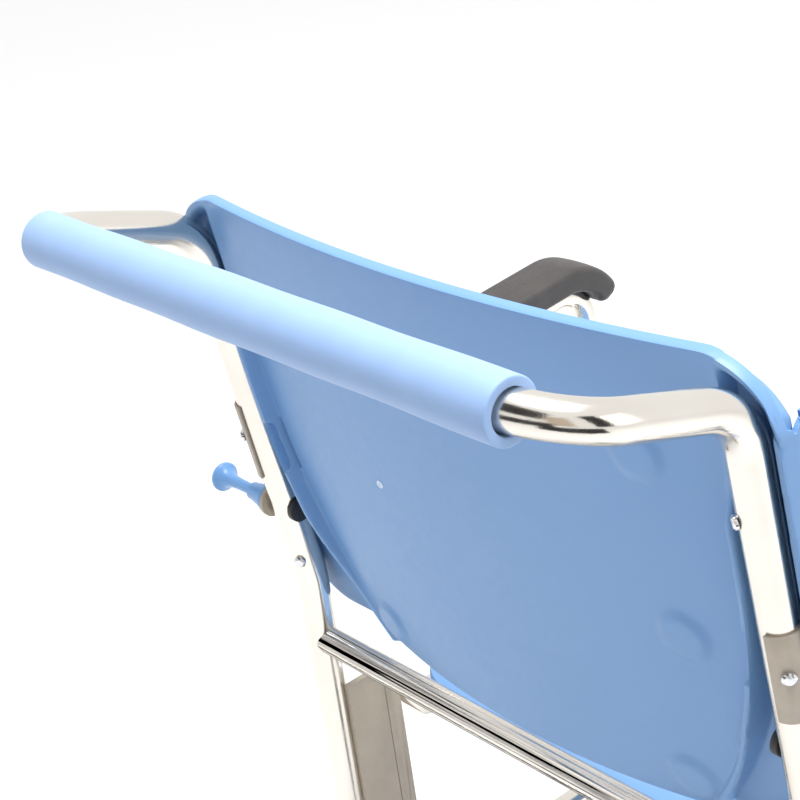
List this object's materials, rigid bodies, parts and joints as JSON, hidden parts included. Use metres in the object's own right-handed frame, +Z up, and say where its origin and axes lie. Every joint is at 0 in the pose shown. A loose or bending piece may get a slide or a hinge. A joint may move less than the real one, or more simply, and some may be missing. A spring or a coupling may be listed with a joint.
{
  "type": "stair chair",
  "caption": "Folding wheeled carry chair: bent-tube frame, moulded back and seat, foam push bar, swing-up armrests, castors, footrest and swing-out lift handles.",
  "frame": {"origin": "on the floor, under the middle of the chair's bounding box", "axes": "+Z up, -Y the way the sitter faces, +X to the sitter's left"},
  "size_m": [0.676, 0.778, 0.939],
  "materials": {
    "bright_tube": "bright polished, slightly brushed in the bends",
    "blue_foam": "matt closed-cell foam skin",
    "blue_shell": "satin moulded plastic",
    "blue_knob": "smooth moulded plastic",
    "plated_steel": "bright zinc plate",
    "satin_metal": "matt warm grey coating",
    "black_plastic": "fine moulded texture",
    "grey_plastic": "moulded",
    "tyre_rubber": "matt",
    "black_pad": "soft integral-skin foam, fine grain",
    "grip_rubber": "ribbed, matt"
  },
  "bodies": {
    "rear_frame": {"arm_bracket_left": "satin_metal", "arm_bracket_right": "satin_metal", "arm_pivot_bolts": "plated_steel", "axle_nuts": "plated_steel", "axle_spacers": "plated_steel", "back_shell": "blue_shell", "foam_grip": "blue_foam", "handle_loop_tube": "bright_tube", "hinge_pins": "plated_steel", "hinge_plate_left": "satin_metal", "hinge_plate_right": "satin_metal", "inner_caps": "black_plastic", "knob_housing_left": "blue_knob", "knob_housing_right": "blue_knob", "lower_cross_tube": "bright_tube", "rear_axle": "plated_steel", "rear_leg_plugs": "black_plastic", "saddle_left": "satin_metal", "saddle_right": "satin_metal", "saddle_screws": "plated_steel", "shell_screws": "plated_steel", "upper_cross_tube": "bright_tube"},
    "seat": {"seat_frame": "bright_tube", "seat_panel": "blue_shell", "seat_screws": "plated_steel"},
    "lower_link": {"lower_link_frame": "bright_tube"},
    "front_frame": {"front_frame": "bright_tube", "front_pivot_pins": "plated_steel", "front_leg_caps": "black_plastic", "castor_sockets": "black_plastic", "footrest_lugs": "satin_metal", "footrest_pins": "plated_steel", "lift_pins": "plated_steel"},
    "footrest": {"footrest_board": "black_plastic", "footrest_arms": "satin_metal"},
    "armrest_left": {"arm_tube_left": "bright_tube", "arm_pad_left": "black_pad", "arm_plugs_left": "black_plastic"},
    "knob_left": {"pull_knob_left": "blue_knob"},
    "lift_handle_left": {"lift_tube_left": "bright_tube", "lift_grip_left": "grip_rubber"},
    "castor_left": {"castor_fork_left": "satin_metal", "castor_axle_left": "plated_steel"},
    "castor_wheel_left": {"castor_wheel_left": "grey_plastic", "castor_tyre_left": "tyre_rubber"},
    "rear_wheel_left": {"rear_wheel_left": "grey_plastic", "rear_tyre_left": "tyre_rubber"},
    "armrest_right": {"arm_tube_right": "bright_tube", "arm_pad_right": "black_pad", "arm_plugs_right": "black_plastic"},
    "knob_right": {"pull_knob_right": "blue_knob"},
    "lift_handle_right": {"lift_tube_right": "bright_tube", "lift_grip_right": "grip_rubber"},
    "castor_right": {"castor_fork_right": "satin_metal", "castor_axle_right": "plated_steel"},
    "castor_wheel_right": {"castor_wheel_right": "grey_plastic", "castor_tyre_right": "tyre_rubber"},
    "rear_wheel_right": {"rear_wheel_right": "grey_plastic", "rear_tyre_right": "tyre_rubber"}
  },
  "joints": [
    {"name": "seat_fold", "type": "hinge", "parent": "rear_frame", "child": "seat", "pos_m": [0, 0.149, 0.452], "axis": [-1, 0, 0], "range_deg": [0, 75]},
    {"name": "front_frame_fold", "type": "hinge", "parent": "seat", "child": "front_frame", "pos_m": [0, -0.23, 0.452], "axis": [-1, 0, 0], "range_deg": [-75, 0]},
    {"name": "lower_link_fold", "type": "hinge", "parent": "rear_frame", "child": "lower_link", "pos_m": [0, 0.149, 0.252], "axis": [-1, 0, 0], "range_deg": [0, 75]},
    {"name": "footrest_flip", "type": "hinge", "parent": "front_frame", "child": "footrest", "pos_m": [0, -0.256, 0.151], "axis": [-1, 0, 0], "range_deg": [0, 90]},
    {"name": "armrest_swing_left", "type": "hinge", "parent": "rear_frame", "child": "armrest_left", "pos_m": [0.313, 0.18, 0.629], "axis": [-1, 0, 0], "range_deg": [0, 88]},
    {"name": "knob_pull_left", "type": "slide", "parent": "rear_frame", "child": "knob_left", "axis": [1, 0, 0], "range_m": [0, 0.008], "stiffness_N_per_m": 900, "springref_m": -0.004},
    {"name": "lift_handle_swing_left", "type": "hinge", "parent": "front_frame", "child": "lift_handle_left", "pos_m": [0.244, -0.23, 0.424], "axis": [-1, 0, 0], "range_deg": [0, 90]},
    {"name": "castor_swivel_left", "type": "hinge", "parent": "front_frame", "child": "castor_left", "pos_m": [0.215, -0.23, 0.05], "axis": [0, 0, 1], "continuous": true},
    {"name": "castor_spin_left", "type": "hinge", "parent": "castor_left", "child": "castor_wheel_left", "pos_m": [0.215, -0.262, 0.05], "axis": [1, 0, 0], "continuous": true},
    {"name": "rear_wheel_spin_left", "type": "hinge", "parent": "rear_frame", "child": "rear_wheel_left", "pos_m": [0.285, 0.19077, 0.09], "axis": [1, 0, 0], "continuous": true},
    {"name": "armrest_swing_right", "type": "hinge", "parent": "rear_frame", "child": "armrest_right", "pos_m": [-0.313, 0.18, 0.629], "axis": [-1, 0, 0], "range_deg": [0, 88]},
    {"name": "knob_pull_right", "type": "slide", "parent": "rear_frame", "child": "knob_right", "axis": [-1, 0, 0], "range_m": [0, 0.008], "stiffness_N_per_m": 900, "springref_m": -0.004},
    {"name": "lift_handle_swing_right", "type": "hinge", "parent": "front_frame", "child": "lift_handle_right", "pos_m": [-0.244, -0.23, 0.424], "axis": [-1, 0, 0], "range_deg": [0, 90]},
    {"name": "castor_swivel_right", "type": "hinge", "parent": "front_frame", "child": "castor_right", "pos_m": [-0.215, -0.23, 0.05], "axis": [0, 0, 1], "continuous": true},
    {"name": "castor_spin_right", "type": "hinge", "parent": "castor_right", "child": "castor_wheel_right", "pos_m": [-0.215, -0.262, 0.05], "axis": [1, 0, 0], "continuous": true},
    {"name": "rear_wheel_spin_right", "type": "hinge", "parent": "rear_frame", "child": "rear_wheel_right", "pos_m": [-0.285, 0.19077, 0.09], "axis": [1, 0, 0], "continuous": true}
  ],
  "couplings": [
    {"joint": "front_frame_fold", "follows": "seat_fold", "ratio": -1},
    {"joint": "lower_link_fold", "follows": "seat_fold", "ratio": 1}
  ]
}
